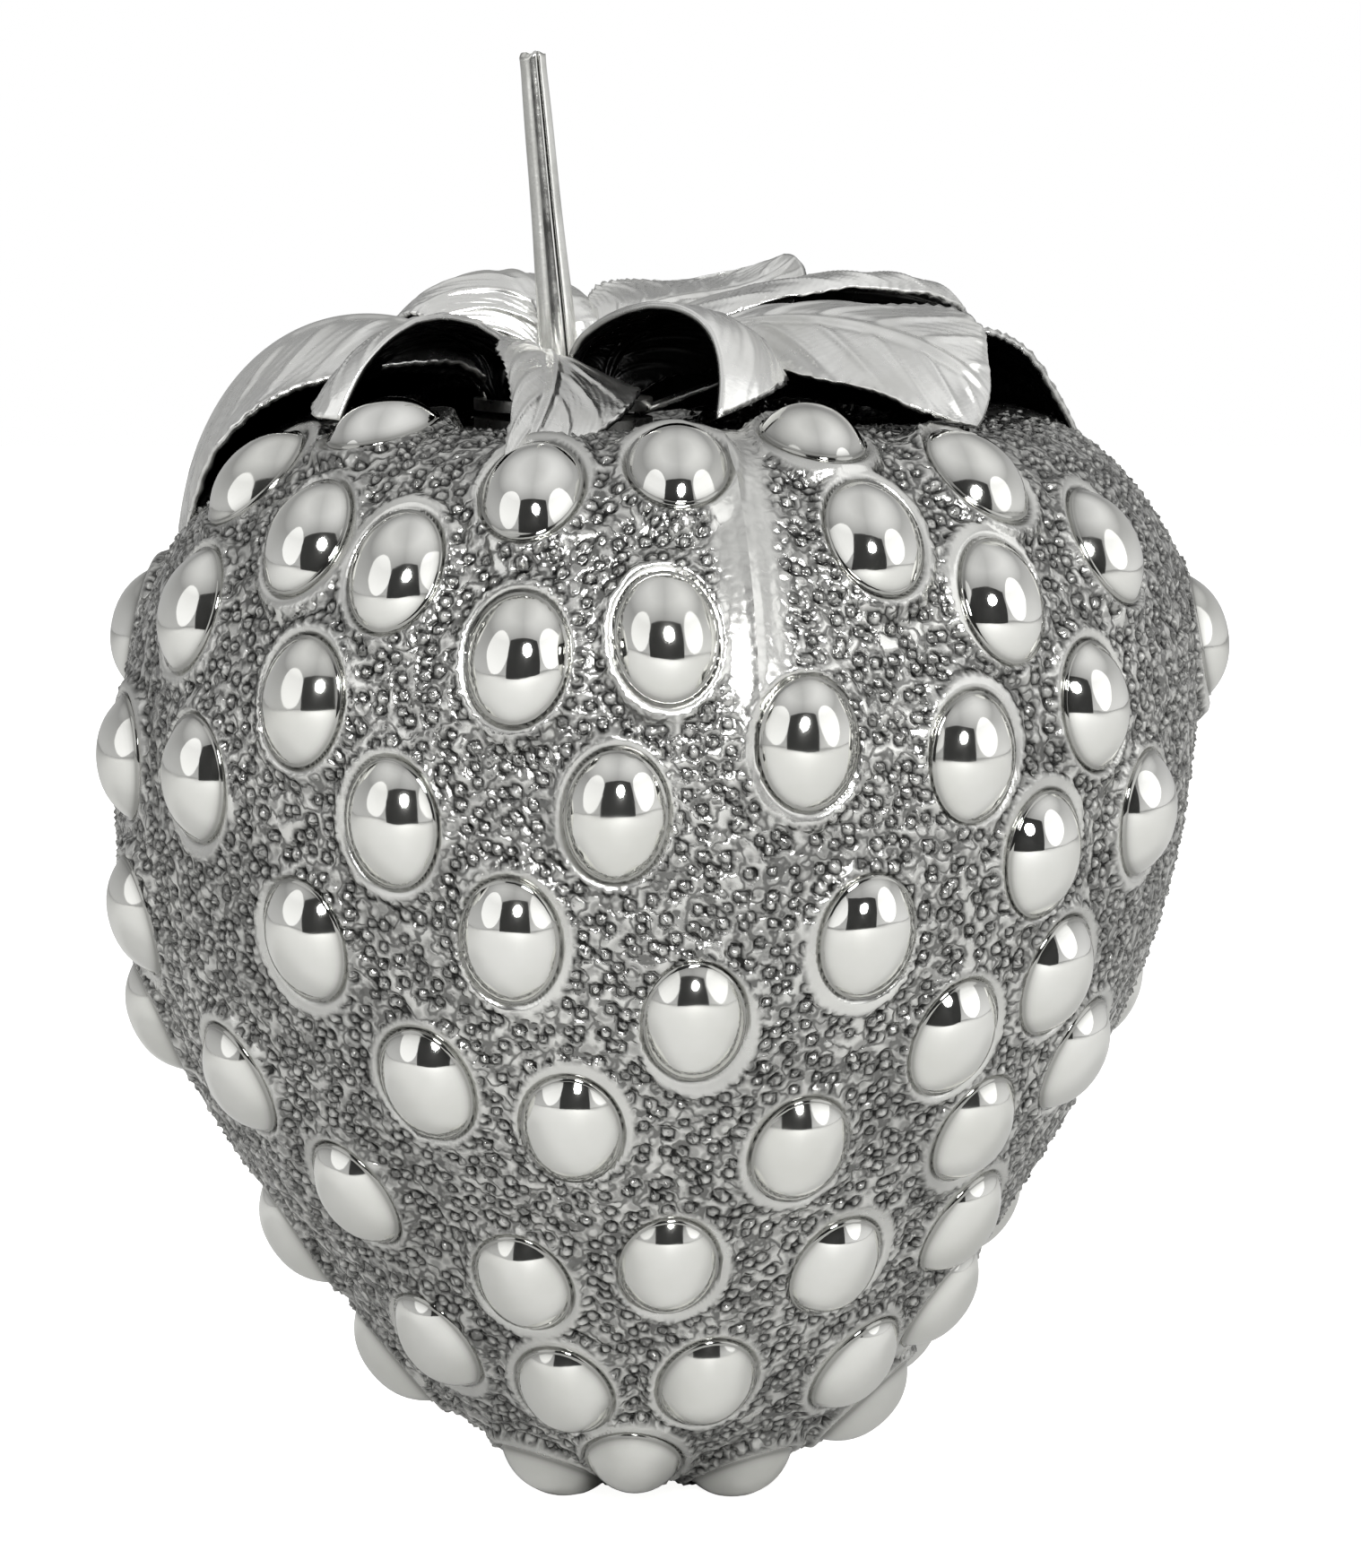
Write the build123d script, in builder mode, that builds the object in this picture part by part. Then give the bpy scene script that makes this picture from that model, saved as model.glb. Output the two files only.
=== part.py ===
"""A hollow silver strawberry ornament: an embossed body in two halves, domed seeds,
a calyx of ten sepals in two tiers and a rolled stem.

Millimetres. +Z is up, the resting plane is z = 0 and the body's axis is the Z axis.
The front looks along -Y. An azimuth of 0 degrees is the front and it grows towards +X.
"""

import math
import os

from build123d import *

os.makedirs("parts", exist_ok=True)

# Body, with heights above its own tip
belly_radius = 33.2
belly_height = 48.1
crest_radius = 20.0
crest_rise = 18.5
crown_radius = 13.0
crown_drop = 2.0
wall = 1.0
nose_fullness = 0.61
waist_share = (0.465, 0.40)
flank_swell = 0.45
seam_azimuth = 11

# Seeds: domes on a thin oval flange, let into flat seats in the body
seed_length = 7.3
seed_width = 5.7
seed_rise = 1.7
seed_rim = 0.25
rim_rise = 0.15
seat_depth = 0.45
seat_clearance = 0.1
foot_place = 10
foot_flat_depth = 0.15

# Calyx, stacked on the flat crown about its own centre
calyx_offset = 5.3
mouth_radius = 4.7
mouth_clearance = 0.1
collar_radius = 6.2
collar_thickness = 0.8
spigot_depth = 1.6
disc_radius = 5.5
disc_thickness = 0.7
sepal_thickness = 0.5
neck_half_width = 1.4
neck_start = 2.8
neck_end = 6.5
blade_start = 6.0
drawn_belly_radius = 33.2  # the belly that the sepals below were drawn over
tip_half_width = 0.5

# Stem and the pin that holds it
stem_length = 21.0
stem_base_radius = 1.25
stem_top_radius = 0.75
stem_wall = 0.3
stem_lean = 5.0
stem_slit = 0.16
slit_azimuth = 25
pin_radius = 0.55
pin_clearance = 0.05
pin_reach = 3.0
pin_head_radius = 1.6
pin_head_thickness = 0.5

# Seeds by row: azimuth in degrees, place along the side in percent from tip to crest.
# Each is repeated a half turn round, because both halves are raised over one die.
seed_rows = {
    "seeds_row_01_feet": [(-44, foot_place), (41, foot_place)],
    "seeds_row_02": [(-5, 13.5), (72, 17)],
    "seeds_row_03": [(-78, 21), (-44, 25.5), (-18, 22), (12, 23), (47, 23)],
    "seeds_row_04": [(-78, 32), (-44, 39), (-20, 32.5), (3, 34.5), (30, 33.5), (54, 35.5), (66, 27.5)],
    "seeds_row_05": [(-80, 50), (-57, 47.5), (-26, 49.5), (-9, 46.5), (19, 44.5), (36, 52.5)]
    + [(45, 44.5), (61, 49)],
    "seeds_row_06": [(-71, 58.5), (-38, 59.5), (-14, 60.5), (5, 55), (23, 60.5), (50, 56)],
    "seeds_row_07": [(-72, 69.5), (-53, 69.5), (-26, 68), (-3, 69), (16, 73.5), (34, 72)]
    + [(44, 65), (62, 66.5), (51, 74.5)],
    "seeds_row_08": [(-59, 80.5), (-37, 75.5), (-13, 79), (2, 80.5), (40, 82), (86, 77)],
    "seeds_row_09": [(-62, 90.5), (-42, 86.5), (-28, 84.5), (26, 87), (60, 85)],
    "seeds_row_10": [(-46, 97.5), (-14, 91), (4, 93.5), (25, 97), (45, 91.5)],
}

# Sepals: azimuth, then three points that guide the midrib past the neck as (reach from
# the calyx centre, height above the neck), half width, arch, roll and sideways sweep.
lower_sepals = {
    "sepal_front_left": (-46, (7, 11.5), (17, 10), (19.2, 1.8), 4.0, 1.2, -12, 1.5),
    "sepal_front_right": (34, (6.5, 11), (17, 10), (20.3, 1.0), 4.2, 1.6, -15, -2.3),
    "sepal_right": (97, (14, 9), (28, 9), (31.5, -1.2), 4.6, 1.2, -15, 0.0),
    "sepal_back_right": (162, (10, 6), (15, 6), (18.5, 9.5), 3.6, 1.2, 0, -3.0),
    "sepal_back_left": (-120, (9, 8), (20, 8), (25, 0.4), 4.6, 1.2, 0, 0.0),
}
upper_sepals = {
    "sepal_left": (-84, (12, 8), (26, 7.5), (25.8, -6.5), 4.8, 1.4, -15, 1.6),
    "sepal_front": (-8, (9, 4.8), (25, 4.8), (27, -2.4), 4.6, 0.8, -8, 0.0),
    "sepal_right_front": (66, (10, 7), (24, 9), (28.6, -1.3), 5.0, 1.4, 15, -1.4),
    "sepal_right_back": (130, (9, 9), (20, 10), (26, 2), 4.4, 1.2, 0, -3.0),
    "sepal_back": (-158, (9, 9), (18, 9), (23, 0.5), 4.6, 1.4, 0, 0.0),
}
# Along a blade: share of the midrib, of the half width and of the arch
blade_stations = ((0.25, 0.55, 0.5), (0.5, 1.0, 1.0), (0.75, 0.8, 0.7))

# The side of the body from tip to crest, in a half plane of radius and height above the tip
crest_height = belly_height + crest_rise
crown_height = crest_height - crown_drop
shoulder_radius = belly_radius - crest_radius
inner_shares = (0.12, 0.24, 0.36, 0.48, 0.6, 0.72, 0.84)

with BuildLine() as side:
    flank = Bezier(
        (0, 0),
        (nose_fullness * belly_radius, 0),
        (waist_share[0] * belly_radius, waist_share[1] * belly_height),
        (belly_radius, flank_swell * belly_height),
        (belly_radius, belly_height),
    )
    shoulder = EllipticalCenterArc(
        (crest_radius, belly_height), shoulder_radius, crest_rise, start_angle=0, arc_size=90
    )
side_length = flank.length + shoulder.length


def side_point(percent):
    """Radius and height of the side, and its outward normal, at a percent from tip to crest."""
    travelled = percent / 100 * side_length
    if travelled < flank.length:
        curve, share = flank, travelled / flank.length
    else:
        curve, share = shoulder, (travelled - flank.length) / shoulder.length
    place = curve @ share
    run = curve % share
    return place, Vector(run.Y, -run.X)


# Domes are caps of an ellipsoid whose long axis lies along the side
cap_height = seed_rise - rim_rise
cap_radius = ((seed_width / 2) ** 2 + cap_height**2) / (2 * cap_height)
cap_sink = cap_radius - cap_height
cap_half_length = cap_radius * seed_length / seed_width

# A foot's dome bottoms out here, so the tip stands this far above the resting plane
foot_centre, foot_normal = side_point(foot_place)
dome_centre_height = foot_centre.Y + (rim_rise - cap_sink) * foot_normal.Y
dome_drop = math.hypot(cap_half_length * foot_normal.X, cap_radius * foot_normal.Y)
tip_height = dome_drop - dome_centre_height - foot_flat_depth
crown_level = tip_height + crown_height


def seat_plane(azimuth, percent):
    """A plane on the body with its origin on the surface, x along the side and z outwards."""
    place, normal = side_point(percent)
    turn = math.radians(azimuth)
    out = Vector(math.sin(turn), -math.cos(turn), 0)
    up = Vector(0, 0, 1)
    return Plane(
        origin=out * place.X + up * (tip_height + place.Y),
        x_dir=out * -normal.Y + up * normal.X,
        z_dir=out * normal.X + up * normal.Y,
    )


def row_planes(seeds):
    """The seats of one row, front and back."""
    return [seat_plane(azimuth + half, percent) for half in (0, 180) for azimuth, percent in seeds]


# One seed and the seat it is let into, about the origin: turned round, then drawn out long
seed_stretch = (seed_length / seed_width, 1, 1)
with BuildPart() as seed:
    with BuildSketch(Plane.XZ):
        with BuildLine():
            rim = (seed_width / 2 + seed_rim, rim_rise)
            dome_edge = (seed_width / 2, rim_rise)
            Polyline((0, -seat_depth), (rim[0], -seat_depth), rim, dome_edge)
            CenterArc(
                (0, rim_rise - cap_sink),
                cap_radius,
                math.degrees(math.atan2(cap_sink, seed_width / 2)),
                math.degrees(math.atan2(seed_width / 2, cap_sink)),
            )
            Line((0, seed_rise), (0, -seat_depth))
        make_face()
    revolve(axis=Axis.Z)
    scale(by=seed_stretch)

with BuildPart() as seat:
    with BuildSketch(Plane.XY.offset(-seat_depth)):
        Ellipse(
            (seed_width / 2 + seed_rim + seat_clearance) * seed_stretch[0],
            seed_width / 2 + seed_rim + seat_clearance,
        )
    extrude(amount=seat_depth + seed_rise)

# The whole body wall, before it is parted along the seam
with BuildPart() as body:
    with BuildSketch(Plane.XZ):
        with BuildLine():
            with Locations((0, tip_height)):
                add(side.line)
            crest = (crest_radius, tip_height + crest_height)
            crown_edge = (crown_radius, crown_level)
            Spline(crest, crown_edge, tangents=[(-1, 0), (-1, 0)])
            inner_crest = (crest_radius, crest[1] - wall)
            inner_crown_edge = (crown_radius, crown_level - wall)
            Polyline(crown_edge, (0, crown_level), (0, crown_level - wall), inner_crown_edge)
            Spline(inner_crown_edge, inner_crest, tangents=[(1, 0), (1, 0)])
            inner_belly = (belly_radius - wall, tip_height + belly_height)
            EllipticalCenterArc(
                (crest_radius, inner_belly[1]),
                shoulder_radius - wall,
                crest_rise - wall,
                start_angle=0,
                arc_size=90,
            )
            inner_points = [(0, tip_height + wall)]
            for share in inner_shares:
                place = flank @ share
                run = flank % share
                inner_points.append((place.X - wall * run.Y, tip_height + place.Y + wall * run.X))
            Spline(*inner_points, inner_belly, tangents=[(1, 0), (0, 1)])
            Line((0, tip_height), (0, tip_height + wall))
        make_face()
    revolve(axis=Axis.Z)
    for seeds in seed_rows.values():
        with Locations(*row_planes(seeds)):
            add(seat.part, mode=Mode.SUBTRACT)
    with BuildSketch(Plane.XY.offset(crown_level - wall)):
        with Locations((-calyx_offset, 0)):
            Circle(mouth_radius)
    extrude(amount=wall, mode=Mode.SUBTRACT)

seam_turn = math.radians(seam_azimuth)
seam_plane = Plane(origin=(0, 0, 0), z_dir=(math.cos(seam_turn), math.sin(seam_turn), 0))
for name, kept in (("shell_right", Keep.TOP), ("shell_left", Keep.BOTTOM)):
    with BuildPart() as shell:
        add(body.part)
        split(bisect_by=seam_plane, keep=kept)
    shell.part.label = name
    export_step(shell.part, f"parts/{name}.step")

# Seeds, one node for each row. The domes of the lowest row are worn flat where they rest.
for name, seeds in seed_rows.items():
    with BuildPart() as row:
        with Locations(*row_planes(seeds)):
            add(seed.part)
        split(bisect_by=Plane.XY, keep=Keep.TOP)
    row.part.label = name
    export_step(row.part, f"parts/{name}.step")

# Levels of the calyx stack
collar_top = crown_level + collar_thickness
lower_neck = collar_top + disc_thickness
upper_disc = lower_neck + sepal_thickness
upper_neck = upper_disc + disc_thickness
calyx_centre = (-calyx_offset, 0)
pin_hole = pin_radius + pin_clearance

# Mouth collar: its flange lies on the crown and its spigot fills the mouth
with BuildPart() as collar:
    with BuildSketch(Plane.XY.offset(crown_level)):
        with Locations(calyx_centre):
            Circle(collar_radius)
    extrude(amount=collar_thickness)
    with BuildSketch(Plane.XY.offset(crown_level)):
        with Locations(calyx_centre):
            Circle(mouth_radius - mouth_clearance)
    extrude(amount=-spigot_depth)
    with Locations((-calyx_offset, 0, collar_top)):
        Hole(pin_hole)
collar.part.label = "mouth_collar"
export_step(collar.part, "parts/mouth_collar.step")

# The two discs that carry the tiers of sepals
for name, level in (("calyx_disc_lower", collar_top), ("calyx_disc_upper", upper_disc)):
    with BuildPart() as disc:
        with BuildSketch(Plane.XY.offset(level)):
            with Locations(calyx_centre):
                Circle(disc_radius)
                Circle(pin_hole, mode=Mode.SUBTRACT)
        extrude(amount=disc_thickness)
    disc.part.label = name
    export_step(disc.part, f"parts/{name}.step")


def sepal_sections(azimuth, level, guides, half_width, arch, roll, sweep):
    """Planes across the midrib, each with the half width and the arch of the blade there."""
    turn = math.radians(azimuth)
    out = Vector(math.sin(turn), -math.cos(turn), 0)
    across = Vector(math.cos(turn), math.sin(turn), 0)
    up = Vector(0, 0, 1)
    spread = belly_radius / drawn_belly_radius
    guides = [(reach * spread, height) for reach, height in guides]
    midrib = Bezier((blade_start, 0), *guides, mode=Mode.PRIVATE)
    stations = ((0, neck_half_width / half_width, 0.1),) + blade_stations
    for share, width_share, arch_share in stations + ((1, tip_half_width / half_width, 0.1),):
        place = midrib @ share
        run = midrib % share
        tilt = math.radians(roll * math.sin(math.pi * min(share, 0.75)))
        along = out * run.X + up * run.Y
        over = up * run.X - out * run.Y
        plane = Plane(
            origin=Vector(-calyx_offset, 0, level)
            + out * place.X
            + up * place.Y
            + across * (sweep * share**2),
            x_dir=across * math.cos(tilt) + over * math.sin(tilt),
            z_dir=along,
        )
        yield plane, half_width * width_share, arch * arch_share


# Sepals: a flat neck on the disc, then an arched blade of the same sheet
for tier, neck_level in ((lower_sepals, lower_neck), (upper_sepals, upper_neck)):
    for name, (azimuth, first, second, end, half_width, arch, roll, sweep) in tier.items():
        turn = math.radians(azimuth)
        neck_plane = Plane(
            origin=(-calyx_offset, 0, neck_level),
            x_dir=(math.sin(turn), -math.cos(turn), 0),
            z_dir=(0, 0, 1),
        )
        blade_level = neck_level + sepal_thickness
        sections = sepal_sections(
            azimuth, blade_level, (first, second, end), half_width, arch, roll, sweep
        )
        with BuildPart() as sepal:
            for plane, width, depth in sections:
                with BuildSketch(plane):
                    with BuildLine():
                        ThreePointArc((-width, -depth), (0, 0), (width, -depth))
                        Line((width, -depth), (width, -depth - sepal_thickness))
                        ThreePointArc(
                            (width, -depth - sepal_thickness),
                            (0, -sepal_thickness),
                            (-width, -depth - sepal_thickness),
                        )
                        Line((-width, -depth - sepal_thickness), (-width, -depth))
                    make_face()
            loft()
            with BuildSketch(neck_plane):
                with Locations((neck_start, 0)):
                    Rectangle(
                        neck_end - neck_start,
                        2 * neck_half_width,
                        align=(Align.MIN, Align.CENTER),
                    )
            extrude(amount=sepal_thickness)
        sepal.part.label = name
        export_step(sepal.part, f"parts/{name}.step")

# Stem: a tapered tube rolled from sheet, with its slit, standing on the upper disc
lean = math.radians(stem_lean)
stem_axis = Vector(-math.sin(lean), 0, math.cos(lean))
stem_foot = Vector(-calyx_offset, 0, upper_neck)
stem_sink = stem_base_radius * math.tan(lean) * 2
taper = (stem_base_radius - stem_top_radius) / stem_length
stem_base = Plane(
    origin=stem_foot - stem_axis * stem_sink,
    x_dir=(math.cos(lean), 0, math.sin(lean)),
    z_dir=stem_axis,
)
with BuildPart() as stem:
    with BuildSketch(stem_base):
        Circle(stem_base_radius + taper * stem_sink)
    with BuildSketch(stem_base.offset(stem_sink + stem_length)):
        Circle(stem_top_radius)
    loft()
    with BuildSketch(stem_base):
        Circle(stem_base_radius + taper * stem_sink - stem_wall)
    with BuildSketch(stem_base.offset(stem_sink + stem_length)):
        Circle(stem_top_radius - stem_wall)
    loft(mode=Mode.SUBTRACT)
    with BuildSketch(stem_base):
        with Locations(Location((0, 0, 0), (0, 0, slit_azimuth - 90))):
            Rectangle(2 * stem_base_radius, stem_slit, align=(Align.MIN, Align.CENTER))
    extrude(amount=stem_sink + stem_length, mode=Mode.SUBTRACT)
    split(bisect_by=Plane.XY.offset(upper_neck), keep=Keep.TOP)
stem.part.label = "stem_tube"
export_step(stem.part, "parts/stem_tube.step")

# Pin through the stack, headed under the collar and standing up inside the stem
pin_bottom = crown_level - spigot_depth
with BuildPart() as pin:
    with BuildSketch(Plane.XY.offset(pin_bottom)):
        with Locations(calyx_centre):
            Circle(pin_radius)
    extrude(amount=upper_neck + pin_reach - pin_bottom)
    with BuildSketch(Plane.XY.offset(pin_bottom)):
        with Locations(calyx_centre):
            Circle(pin_head_radius)
    extrude(amount=-pin_head_thickness)
pin.part.label = "stem_pin"
export_step(pin.part, "parts/stem_pin.step")
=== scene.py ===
import math

import bpy
import numpy as np
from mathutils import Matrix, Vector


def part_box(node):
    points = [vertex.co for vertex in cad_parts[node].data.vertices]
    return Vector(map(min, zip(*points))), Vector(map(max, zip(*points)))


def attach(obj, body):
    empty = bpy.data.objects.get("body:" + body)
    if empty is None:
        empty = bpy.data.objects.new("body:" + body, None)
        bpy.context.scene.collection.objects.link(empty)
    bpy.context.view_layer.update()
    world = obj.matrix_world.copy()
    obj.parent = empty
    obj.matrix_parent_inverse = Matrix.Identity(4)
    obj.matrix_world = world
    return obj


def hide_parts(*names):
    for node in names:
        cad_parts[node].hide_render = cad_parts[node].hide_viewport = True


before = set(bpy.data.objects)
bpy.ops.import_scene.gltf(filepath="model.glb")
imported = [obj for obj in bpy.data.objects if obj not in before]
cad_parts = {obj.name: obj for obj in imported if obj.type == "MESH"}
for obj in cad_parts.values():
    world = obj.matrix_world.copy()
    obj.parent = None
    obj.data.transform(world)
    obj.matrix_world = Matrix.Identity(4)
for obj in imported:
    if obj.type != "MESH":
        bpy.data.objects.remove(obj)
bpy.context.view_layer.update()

# Camera: it stands in front of the strawberry and a little above its middle, near enough
# that the flanks turn away. Lengths for the camera are in metres.
camera_distance = 0.350
camera_lift = math.radians(7.5)
aim = (0.0019, 0.0, 0.0435)
view_height = 0.0972
camera_data = bpy.data.cameras.new("camera")
camera_data.lens = camera_data.sensor_width * camera_distance / view_height
camera = bpy.data.objects.new("camera", camera_data)
camera.location = (
    aim[0],
    aim[1] - camera_distance * math.cos(camera_lift),
    aim[2] + camera_distance * math.sin(camera_lift),
)
camera.rotation_euler = (math.pi / 2 - camera_lift, 0, 0)
bpy.context.scene.collection.objects.link(camera)
bpy.context.scene.camera = camera
bpy.context.scene.view_settings.view_transform = "Standard"


# ---------------------------------------------------------------------------------------
# Body: two half shells of thin silver sheet, raised over a die, soldered up the sides and
# then chased all over with a ring punch. Every seed sits in a smooth dished seat. Each
# half is made here as three bands of skin. Lengths are in millimetres.
# ---------------------------------------------------------------------------------------
belly_radius = 33.2
belly_height = 48.1
crest_radius = 20.0
crest_rise = 18.5
crown_radius = 13.0
crown_drop = 2.0
mouth_radius = 4.7
calyx_offset = 5.3
tip_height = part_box("shell_left")[0][2] * 1000
seam_azimuth = 11.0
seam_low_end = 49.0
seam_bead_height = 0.16
seam_smooth_reach = 1.6
seed_half_length = 3.65
seed_half_width = 2.85
unevenness_height = 0.34
bead_pitch = 1.20
bead_height = 0.16
bead_groove_depth = 0.17
worm_pitch = 0.92
worm_depth = 0.12
grain_step = 0.19

# A seat's places are shares of the way from the middle of its seed to the edge, and beyond.
seat_reach = 8.5
seat_flat_end = 1.10
seat_outer_end = 1.50
seat_lip_place = 1.20
seat_lip_height = 0.13
seat_groove_place = 1.03
seat_groove_depth = 0.24
dark_line_place = 1.05
punched_from = 1.15
punched_fully = 1.25
lip_aside = 0.13

# Seeds by row: azimuth in degrees, place in percent from tip to crest, front half only.
seed_rows = {
    "seeds_row_01_feet": [(-44, 10), (41, 10)],
    "seeds_row_02": [(-5, 13.5), (72, 17)],
    "seeds_row_03": [(-78, 21), (-44, 25.5), (-18, 22), (12, 23), (47, 23)],
    "seeds_row_04": [(-78, 32), (-44, 39), (-20, 32.5), (3, 34.5), (30, 33.5)]
    + [(54, 35.5), (66, 27.5)],
    "seeds_row_05": [(-80, 50), (-57, 47.5), (-26, 49.5), (-9, 46.5), (19, 44.5)]
    + [(36, 52.5), (45, 44.5), (61, 49)],
    "seeds_row_06": [(-71, 58.5), (-38, 59.5), (-14, 60.5), (5, 55), (23, 60.5), (50, 56)],
    "seeds_row_07": [(-72, 69.5), (-53, 69.5), (-26, 68), (-3, 69), (16, 73.5), (34, 72)]
    + [(44, 65), (62, 66.5), (51, 74.5)],
    "seeds_row_08": [(-59, 80.5), (-37, 75.5), (-13, 79), (2, 80.5), (40, 82), (86, 77)],
    "seeds_row_09": [(-62, 90.5), (-42, 86.5), (-28, 84.5), (26, 87), (60, 85)],
    "seeds_row_10": [(-46, 97.5), (-14, 91), (4, 93.5), (25, 97), (45, 91.5)],
}


def side_profile():
    """The side from the tip, over the crest and in to the mouth, as ring radius, height and
    sideways shift of the ring, against the length travelled. The flank is a quartic Bezier
    curve, the shoulder a quarter ellipse, the crown a smooth step down and then flat."""
    share = np.linspace(0, 1, 3000)
    guides = np.array([(0, 0), (0.61, 0), (0.465, 0.40), (1, 0.45), (1, 1)])
    guides = guides * (belly_radius, belly_height)
    weights = [math.comb(4, k) * share**k * (1 - share) ** (4 - k) for k in range(5)]
    flank = np.array(weights).T @ guides
    turn = np.linspace(0, math.pi / 2, 1500)[1:]
    shoulder_radius = crest_radius + (belly_radius - crest_radius) * np.cos(turn)
    shoulder = np.stack([shoulder_radius, belly_height + crest_rise * np.sin(turn)], axis=1)
    step = np.linspace(0, 1, 400)[1:]
    fall = step**2 * (3 - 2 * step)
    crown_r = crest_radius + (crown_radius - crest_radius) * step
    crown = np.stack([crown_r, belly_height + crest_rise - crown_drop * fall], axis=1)
    flat_r = crown_radius + (mouth_radius - crown_radius) * step
    flat = np.stack([flat_r, np.full_like(step, belly_height + crest_rise - crown_drop)], axis=1)
    path = np.concatenate([flank, shoulder, crown, flat])
    shift = np.concatenate([np.zeros(len(path) - len(step)), -calyx_offset * step])
    travelled = np.concatenate([[0], np.cumsum(np.hypot(*np.diff(path, axis=0).T))])
    return travelled, path[:, 0], path[:, 1] + tip_height, shift, len(flank) + len(shoulder) - 1


profile_s, profile_r, profile_z, profile_shift, crest_index = side_profile()
crest_s = profile_s[crest_index]


def lean(azimuth, height, travelled):
    """How far the flanks of the hand-raised body stand off a true round, to the left or the
    right: a smooth curve through a few heights for each flank, times the fifth power of the
    sine of the azimuth, so it is nothing in front, and it fades out over the crown."""
    knots = np.array([0.0, 6.0, 14.0, 25.0, 36.0, 46.0, 54.0, 70.0])
    left = np.array([0.0, -0.2, -0.8, -1.5, -1.0, 0.2, 1.2, 2.4])
    right = np.array([0.6, 0.5, 0.2, 0.1, 0.1, 0.5, 1.1, 1.3])
    spread = np.linspace(-4, 4, 9)
    weight = np.exp(-((spread / 2.5) ** 2))
    weight /= weight.sum()
    side = np.sin(azimuth)
    soft_left = sum(w * np.interp(height + d, knots, left) for w, d in zip(weight, spread))
    soft_right = sum(w * np.interp(height + d, knots, right) for w, d in zip(weight, spread))
    soft = np.where(side < 0, soft_left, soft_right) * np.abs(side) ** 5
    fade = np.clip((travelled - crest_s) / 7.0, 0, 1)
    return soft * (1 - fade**2 * (3 - 2 * fade))


def body_surface(azimuth, travelled):
    """The smooth body: a point at ring radius r and azimuth a is (c + r sin a, -r cos a, z),
    and its normal is square to the side's direction of travel."""
    radius = np.interp(travelled, profile_s, profile_r)
    height = np.interp(travelled, profile_s, profile_z)
    shift = np.interp(travelled, profile_s, profile_shift)
    gap = 0.05
    low = np.clip(travelled - gap, 0, profile_s[-1])
    high = np.clip(travelled + gap, 0, profile_s[-1])
    run_r = np.interp(high, profile_s, profile_r) - np.interp(low, profile_s, profile_r)
    run_z = np.interp(high, profile_s, profile_z) - np.interp(low, profile_s, profile_z)
    length = np.maximum(np.hypot(run_r, run_z), 1e-9)
    normal_r, normal_z = run_z / length, -run_r / length
    out = np.stack([np.sin(azimuth), -np.cos(azimuth), np.zeros_like(azimuth)], axis=-1)
    point = out * radius[..., None]
    point[..., 0] += shift + lean(azimuth, height, travelled)
    point[..., 2] = height
    normal = out * normal_r[..., None]
    normal[..., 2] = normal_z
    return point, normal


def seed_seats():
    """Each seed's seat: its centre, and its long, cross and outward directions, by row. The
    long direction runs up the side, turned a few degrees one way or the other by hand."""
    chance = np.random.default_rng(7)
    seats = {}
    for name, seeds in seed_rows.items():
        table = np.array([(a + half, p) for half in (0, 180) for a, p in seeds], dtype=float)
        azimuth = np.radians(table[:, 0])
        travelled = table[:, 1] / 100 * crest_s
        centre, normal = body_surface(azimuth, travelled)
        cross = np.stack([np.cos(azimuth), np.sin(azimuth), np.zeros_like(azimuth)], axis=-1)
        along = np.cross(cross, normal)
        turn = np.radians(chance.uniform(-5, 5, len(table)))[:, None]
        long_way = along * np.cos(turn) + cross * np.sin(turn)
        seats[name] = (centre, long_way, np.cross(normal, long_way), normal)
    return seats


seats = seed_seats()


def bump_profile(distance, place, width):
    """A round ridge: e to the minus square of the distance from its place over its width."""
    return np.exp(-(((distance - place) / width) ** 2))


def ring_marks(azimuth, travelled, radius, pitch, seed):
    """Ring punch marks, one to a cell of a loose lattice up and round the body. The distance to
    the nearest mark gives a bead in the middle and a groove round it."""
    chance = np.random.default_rng(seed)
    rows = int(profile_s[-1] / pitch) + 3
    row_radius = np.interp(np.arange(rows) * pitch, profile_s, profile_r)
    counts = np.maximum((2 * math.pi * row_radius / pitch).astype(int), 3)
    most = counts.max()
    jitter_a = chance.uniform(-0.42, 0.42, (rows, most))
    jitter_s = chance.uniform(-0.42, 0.42, (rows, most))
    size = chance.uniform(0.8, 1.2, (rows, most))
    row = np.rint(travelled / pitch).astype(int)
    best = np.full(travelled.shape, 9.0)
    best_size = np.ones(travelled.shape)
    for row_step in (-1, 0, 1):
        near_row = np.clip(row + row_step, 0, rows - 1)
        count = counts[near_row]
        cell = np.rint(azimuth / (2 * math.pi) * count).astype(int)
        for cell_step in (-1, 0, 1):
            index = (cell + cell_step) % count
            turn = (cell + cell_step + jitter_a[near_row, index]) * 2 * math.pi / count
            across = (azimuth - turn) * radius
            up = travelled - (near_row + jitter_s[near_row, index]) * pitch
            distance = np.hypot(across, up)
            closer = distance < best
            best = np.where(closer, distance, best)
            best_size = np.where(closer, size[near_row, index], best_size)
    return best, best_size


def unevenness(point):
    """Gentle hand-worked rise and fall: a few crossing sine waves of 9 to 20 millimetres."""
    chance = np.random.default_rng(23)
    waves = chance.normal(size=(9, 3))
    waves /= np.linalg.norm(waves, axis=1)[:, None]
    lengths = chance.uniform(9, 20, 9)
    phase = chance.uniform(0, 2 * math.pi, 9)
    return np.sin(point @ (waves * (2 * math.pi / lengths)[:, None]).T + phase).sum(axis=1) / 9


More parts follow.
